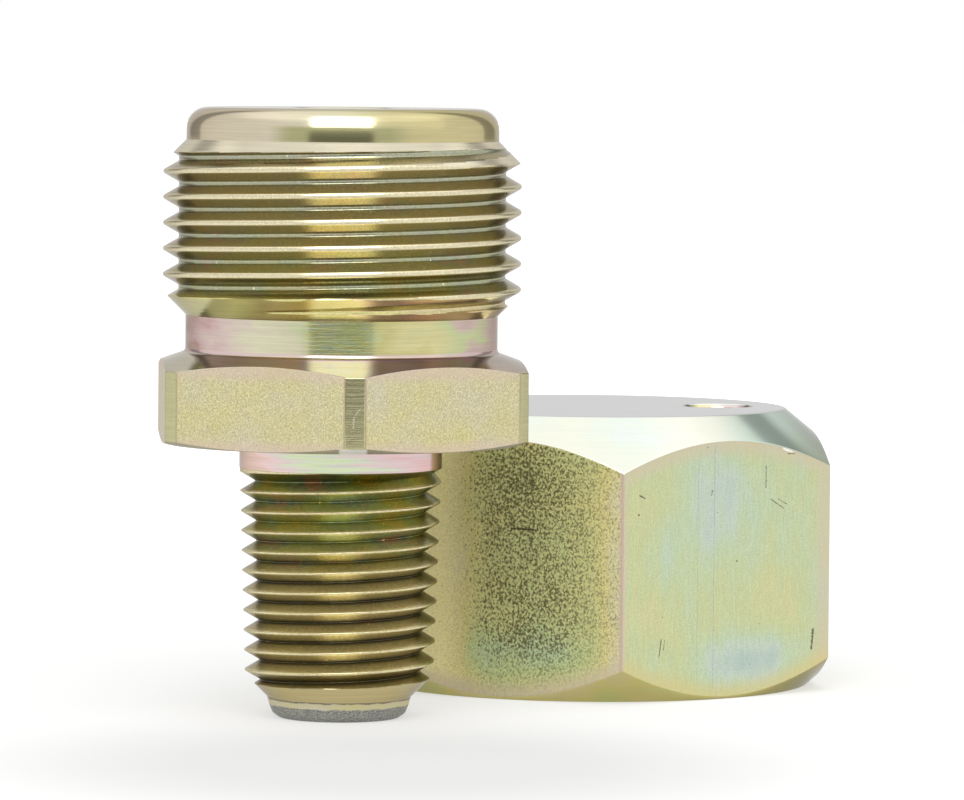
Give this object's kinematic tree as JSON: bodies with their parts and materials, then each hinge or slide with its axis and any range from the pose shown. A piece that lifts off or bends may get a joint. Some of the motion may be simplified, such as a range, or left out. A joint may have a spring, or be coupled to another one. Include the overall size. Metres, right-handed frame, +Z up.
{
  "type": "vent cap",
  "caption": "Plated steel vent cap: hexagon pipe adapter with a taper thread below and a straight thread above, beside its hexagon cap nut with a vent hole.",
  "frame": {"origin": "centre of the adapter's small end face, which stands on the floor", "axes": "+Z up the adapter's axis, +X to the right and -Y towards the front of the pair; the cap nut stands behind and to the right"},
  "size_m": [0.049, 0.0608, 0.0431],
  "materials": {
    "adapter_plating": "yellow chromate over zinc, glossy on the turned faces and satin on the hexagon",
    "cap_plating": "yellow chromate over zinc with green and pink bands, mottled on the hexagon and glossy on the turned top"
  },
  "bodies": {
    "root": {"adapter": "adapter_plating"},
    "cap": {"cap_nut": "cap_plating"}
  },
  "joints": [
    {"name": "cap_lift", "type": "slide", "parent": "root", "child": "cap", "axis": [0, 0, 1], "range_m": [0, 0.045]}
  ]
}
